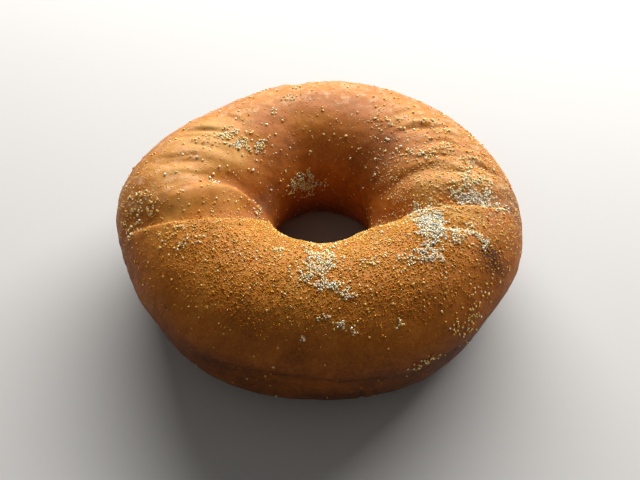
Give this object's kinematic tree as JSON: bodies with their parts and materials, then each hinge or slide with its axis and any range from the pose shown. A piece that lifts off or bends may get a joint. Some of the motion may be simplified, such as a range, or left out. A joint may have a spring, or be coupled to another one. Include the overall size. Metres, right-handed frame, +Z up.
{
  "type": "sugar doughnut",
  "caption": "Fried ring doughnut with folded, unevenly browned crust and coarse sugar on its upper side.",
  "frame": {"origin": "centre of the ring's outline on the surface that it rests on", "axes": "+Z up through the hole, -Y towards the side whose two deep folds lie to the left and right"},
  "size_m": [0.0965, 0.094, 0.0331],
  "materials": {
    "crust": "satin",
    "sugar": "rough"
  },
  "bodies": {
    "root": {"doughnut": "crust"}
  },
  "joints": []
}
